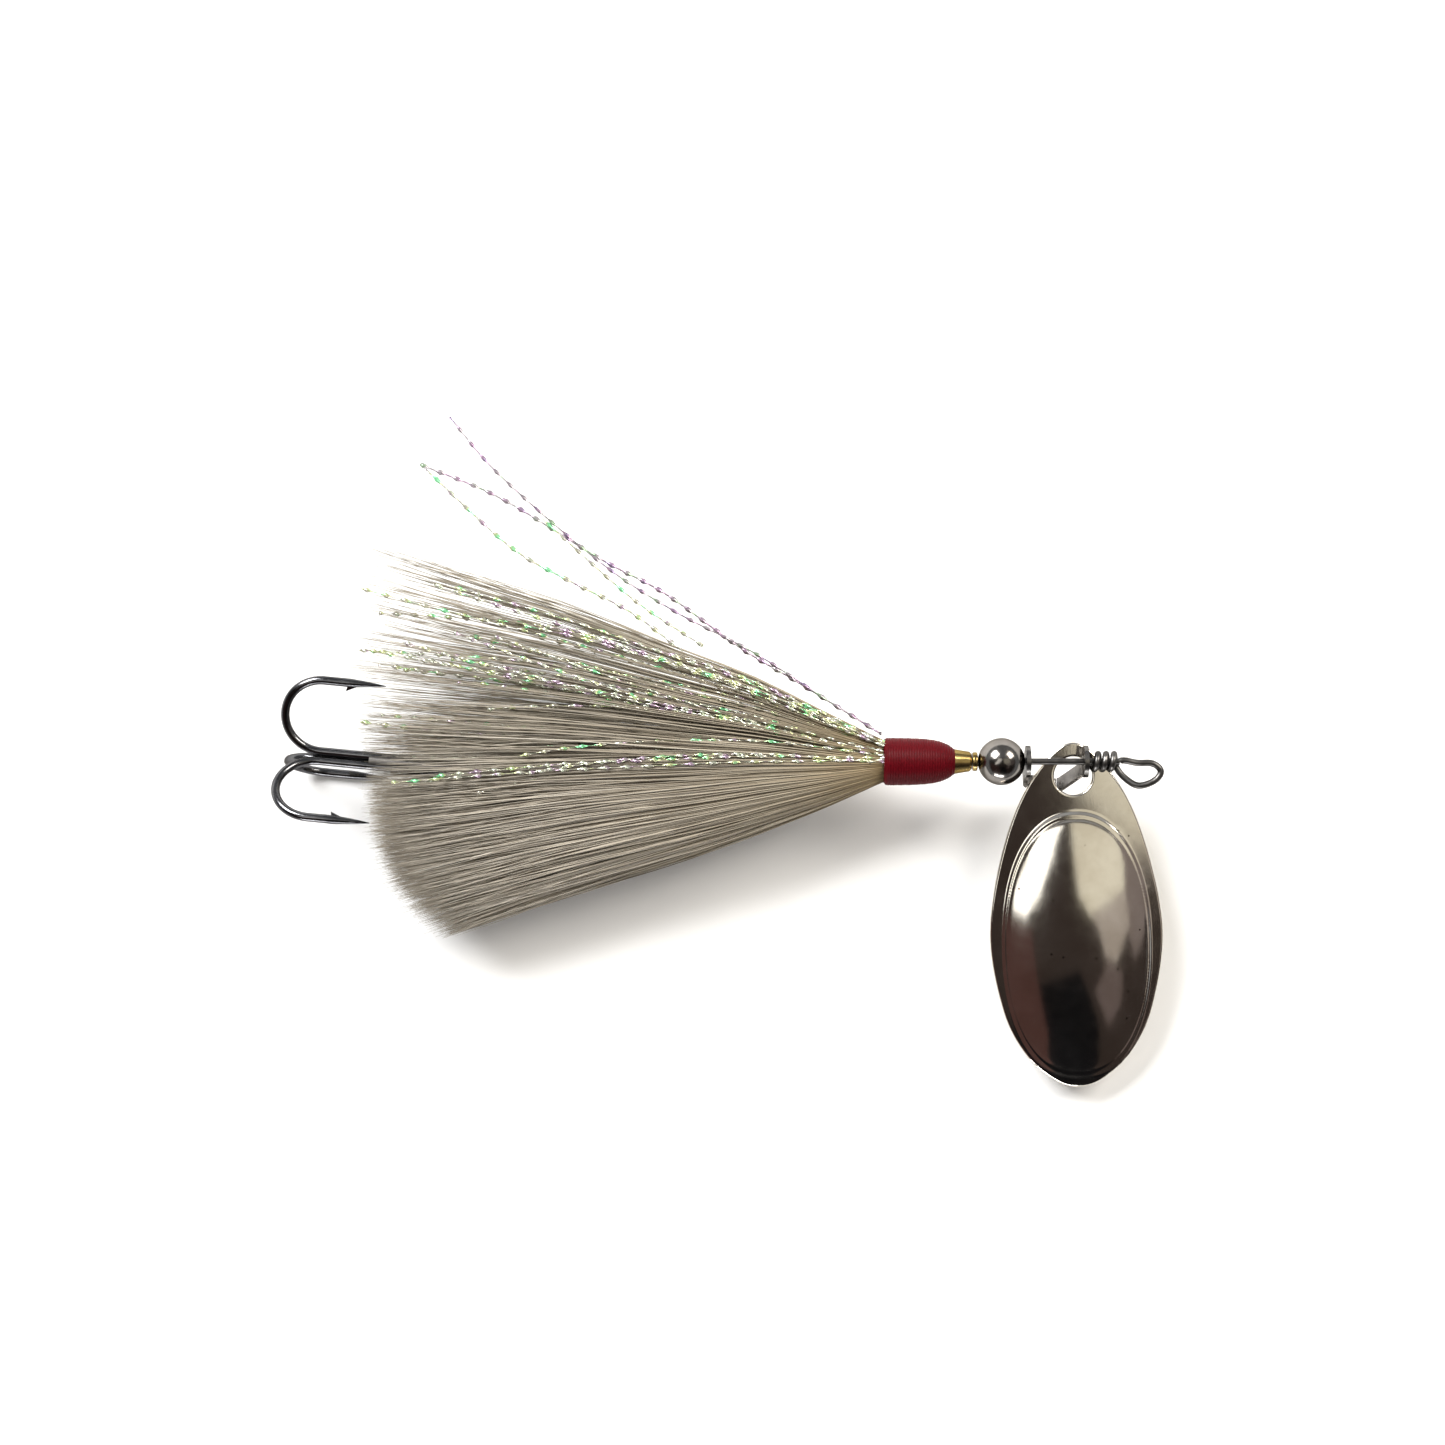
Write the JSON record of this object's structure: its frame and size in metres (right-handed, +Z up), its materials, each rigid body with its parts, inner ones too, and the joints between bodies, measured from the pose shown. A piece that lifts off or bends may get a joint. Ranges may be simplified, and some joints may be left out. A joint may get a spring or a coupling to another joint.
{
  "type": "inline spinner",
  "caption": "Dressed inline fishing spinner: a bent wire carrying a leaf blade on a clevis, a bead, a brass body with tied hair and flash, and a treble hook",
  "frame": {"origin": "where the fishing line seats in the front eye of the wire", "axes": "+X forward along the wire toward the line, +Z up from the table the lure lies on, +Y to the side away from the blade"},
  "size_m": [0.0894, 0.0678, 0.014],
  "materials": {
    "steel_wire": "drawn stainless wire",
    "dark_nickel": "dark plated strip",
    "nickel": "polished nickel plate",
    "brass": "turned brass",
    "red_thread": "lacquered thread turns",
    "hair": "natural bucktail hair",
    "flash": "twisted iridescent film",
    "black_nickel": "black nickel plated hook wire",
    "braze": "plated braze fillet"
  },
  "bodies": {
    "shaft": {"wire_shaft": "steel_wire"},
    "clevis": {"clevis": "dark_nickel"},
    "blade": {"blade": "nickel"},
    "bead": {"bead": "nickel"},
    "spacer": {"spacer_ring": "brass"},
    "dressing": {"brass_body": "brass", "thread_wrap": "red_thread", "hair_clump_1": "hair", "hair_clump_2": "hair", "hair_clump_3": "hair", "hair_clump_4": "hair", "hair_clump_5": "hair", "hair_clump_6": "hair", "flash_strand_1": "flash", "flash_strand_2": "flash"},
    "hook": {"hook_double": "black_nickel", "hook_single": "black_nickel", "hook_braze": "braze"}
  },
  "joints": [
    {"name": "clevis_spin", "type": "hinge", "parent": "shaft", "child": "clevis", "pos_m": [-0.00989, 0.0011, 0], "axis": [1, 0, 0], "continuous": true},
    {"name": "blade_swing", "type": "hinge", "parent": "clevis", "child": "blade", "pos_m": [-0.00796, -0.00035, -0.00251], "axis": [1, 0, 0], "range_deg": [-55, 0]},
    {"name": "bead_spin", "type": "hinge", "parent": "shaft", "child": "bead", "pos_m": [-0.01542, 0.0011, 0], "axis": [1, 0, 0], "continuous": true},
    {"name": "spacer_spin", "type": "hinge", "parent": "shaft", "child": "spacer", "pos_m": [-0.01808, 0.0011, 0], "axis": [1, 0, 0], "continuous": true},
    {"name": "body_spin", "type": "hinge", "parent": "shaft", "child": "dressing", "pos_m": [-0.024, 0.0011, 0], "axis": [1, 0, 0], "continuous": true},
    {"name": "hook_swing", "type": "hinge", "parent": "shaft", "child": "hook", "pos_m": [-0.06467, -0.0005, 0], "axis": [0, 1, 0], "range_deg": [-40, 40], "deforming": ["hair_clump_1", "hair_clump_2", "hair_clump_3", "hair_clump_4", "hair_clump_5", "hair_clump_6"]}
  ]
}
